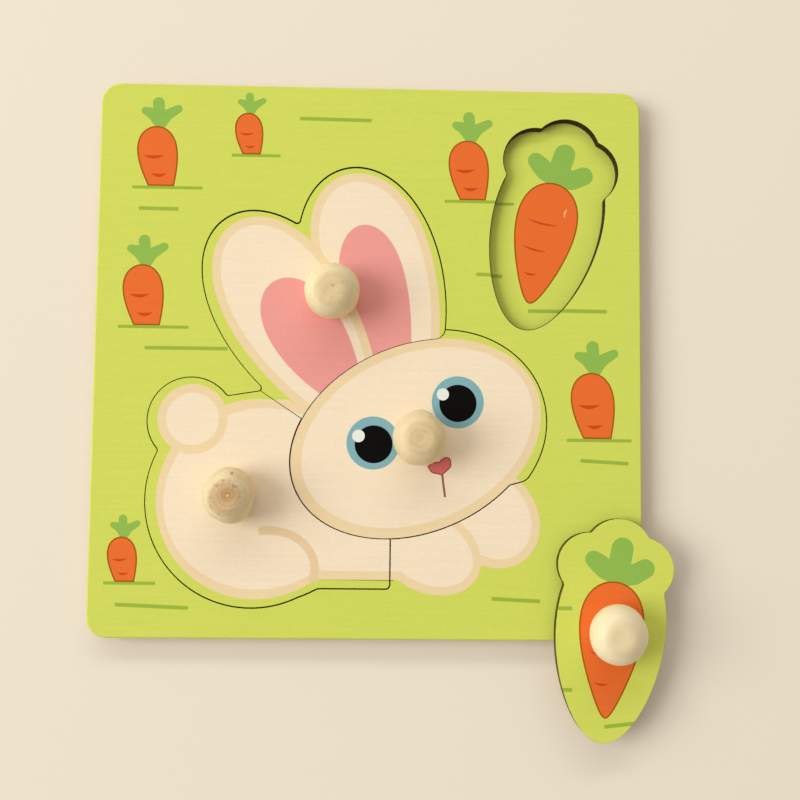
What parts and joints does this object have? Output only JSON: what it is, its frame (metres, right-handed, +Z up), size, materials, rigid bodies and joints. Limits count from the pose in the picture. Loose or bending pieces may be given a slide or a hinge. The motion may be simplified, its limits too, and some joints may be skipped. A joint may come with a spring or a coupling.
{
  "type": "knob puzzle",
  "caption": "Square printed plywood board with a rabbit in lift-out pieces and a lift-out carrot, each with a turned knob; the carrot lies loose across a corner.",
  "frame": {"origin": "middle of the board's underside", "axes": "+Z up out of the printed face, +X to the right of the picture, +Y to the top of the picture"},
  "size_m": [0.1557, 0.1761, 0.024],
  "materials": {
    "bare_plywood": "sanded plywood, printed only on the floor of the recess",
    "printed_board": "printed plywood with a satin varnish and laser-cut edges",
    "rabbit_print": "printed plywood with a satin varnish and laser-cut edges",
    "carrot_print": "printed plywood with a satin varnish and laser-cut edges",
    "turned_wood": "turned and lightly sanded, unpainted"
  },
  "bodies": {
    "board": {"backing_board": "bare_plywood", "frame_board": "printed_board"},
    "ears": {"ears_piece": "rabbit_print", "ears_knob": "turned_wood"},
    "head": {"head_piece": "rabbit_print", "head_knob": "turned_wood"},
    "torso": {"body_piece": "rabbit_print", "body_knob": "turned_wood"},
    "carrot": {"carrot_piece": "carrot_print", "carrot_knob": "turned_wood"}
  },
  "joints": [
    {"name": "ears_lift", "type": "slide", "parent": "board", "child": "ears", "axis": [0, 0, 1], "range_m": [0, 0.04]},
    {"name": "head_lift", "type": "slide", "parent": "board", "child": "head", "axis": [0, 0, 1], "range_m": [0, 0.04]},
    {"name": "body_lift", "type": "slide", "parent": "board", "child": "torso", "axis": [0, 0, 1], "range_m": [0, 0.04]},
    {"name": "carrot_lift", "type": "slide", "parent": "board", "child": "carrot", "axis": [0, 0, 1], "range_m": [0, 0.04]}
  ]
}
